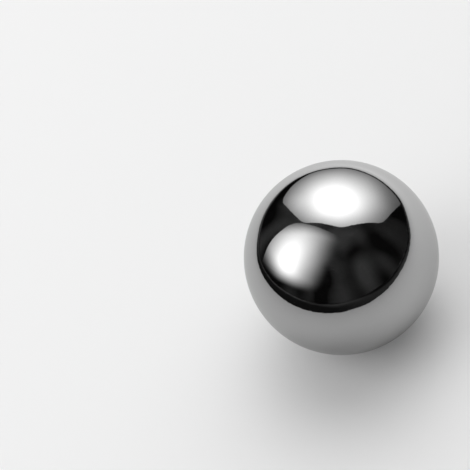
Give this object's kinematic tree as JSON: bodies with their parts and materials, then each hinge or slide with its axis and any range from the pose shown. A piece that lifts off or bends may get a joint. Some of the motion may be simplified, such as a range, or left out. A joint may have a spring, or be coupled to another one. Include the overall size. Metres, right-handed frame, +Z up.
{
  "type": "steel ice ball",
  "caption": "Mirror-polished stainless steel ball, sealed round a cooling liquid. It is frozen, then put in a drink to chill it without thinning it.",
  "frame": {"origin": "the centre of the ball", "axes": "+Z up, along the axis that the two welded halves were pressed on; the weld lies in the XY plane"},
  "size_m": [0.055, 0.055, 0.055],
  "materials": {
    "polished_steel": "bare stainless steel, mirror polished, with no plating"
  },
  "bodies": {
    "root": {"ice_ball": "polished_steel"}
  },
  "joints": []
}
